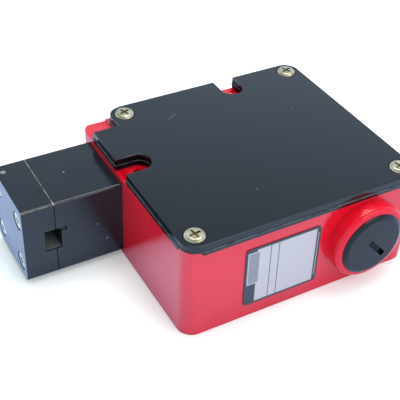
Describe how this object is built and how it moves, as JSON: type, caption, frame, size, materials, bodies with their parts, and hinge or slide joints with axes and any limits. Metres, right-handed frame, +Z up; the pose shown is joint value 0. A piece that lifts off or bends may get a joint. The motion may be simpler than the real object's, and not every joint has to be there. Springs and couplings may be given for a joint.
{
  "type": "safety interlock switch",
  "caption": "Key-operated safety interlock switch with guard locking: red cast box with a screwed black lid, black key head on one end and a plugged conduit entry in the front.",
  "frame": {"origin": "middle of the housing's base", "axes": "+Z up from the base, +X away from the key head towards the far end, -Y towards the front wall with the conduit entry and the key slot"},
  "size_m": [0.1618, 0.1122, 0.0491],
  "materials": {
    "red_enamel": "gloss",
    "black_lid": "gloss",
    "black_head": "gloss",
    "yellow_zinc": "satin",
    "bright_zinc": "satin",
    "hard_steel": "ground",
    "bronze": "satin",
    "contact_alloy": "satin",
    "copper_wire": "lacquered",
    "plug_nylon": "satin",
    "seal_rubber": "matt",
    "foil": "printed satin",
    "ivory_moulding": "satin",
    "blue_moulding": "satin",
    "grey_moulding": "satin"
  },
  "bodies": {
    "base": {"housing": "red_enamel", "lid": "black_lid", "lid_gasket": "seal_rubber", "lid_screws": "yellow_zinc", "conduit_plug": "plug_nylon", "plug_seal": "seal_rubber", "rating_plate": "foil", "head_body": "black_head", "head_cap": "black_head", "head_screws": "bright_zinc", "cam_pin": "hard_steel", "plunger_bush": "bronze", "contact_block": "ivory_moulding", "contact_cover": "grey_moulding", "fixed_contacts": "contact_alloy", "carriage_spring": "bright_zinc", "block_screws": "bright_zinc", "solenoid_yoke": "bright_zinc", "coil_bobbin": "ivory_moulding", "coil_winding": "copper_wire", "armature_spring": "bright_zinc", "yoke_screws": "bright_zinc", "terminal_strip": "ivory_moulding", "terminal_screws": "yellow_zinc", "strip_screws": "bright_zinc", "earth_screw": "yellow_zinc"},
    "cam": {"cam_wheel": "hard_steel"},
    "plunger": {"drive_plunger": "hard_steel", "contact_carriage": "blue_moulding", "bridge_contacts": "contact_alloy"},
    "lock": {"lock_armature": "hard_steel"}
  },
  "joints": [
    {"name": "cam_turn", "type": "hinge", "parent": "base", "child": "cam", "pos_m": [-0.0772, 0.0245, 0.021], "axis": [0, 0, -1], "range_deg": [0, 60]},
    {"name": "plunger_slide", "type": "slide", "parent": "base", "child": "plunger", "axis": [1, 0, 0], "range_m": [0, 0.006], "stiffness_N_per_m": 100, "springref_m": -0.006, "deforming": ["carriage_spring"]},
    {"name": "lock_slide", "type": "slide", "parent": "base", "child": "lock", "axis": [0, 1, 0], "range_m": [0, 0.003], "stiffness_N_per_m": 100, "springref_m": -0.004, "deforming": ["armature_spring"]}
  ],
  "couplings": [
    {"joint": "cam_turn", "follows": "plunger_slide", "rad_per_m": 174.53}
  ]
}
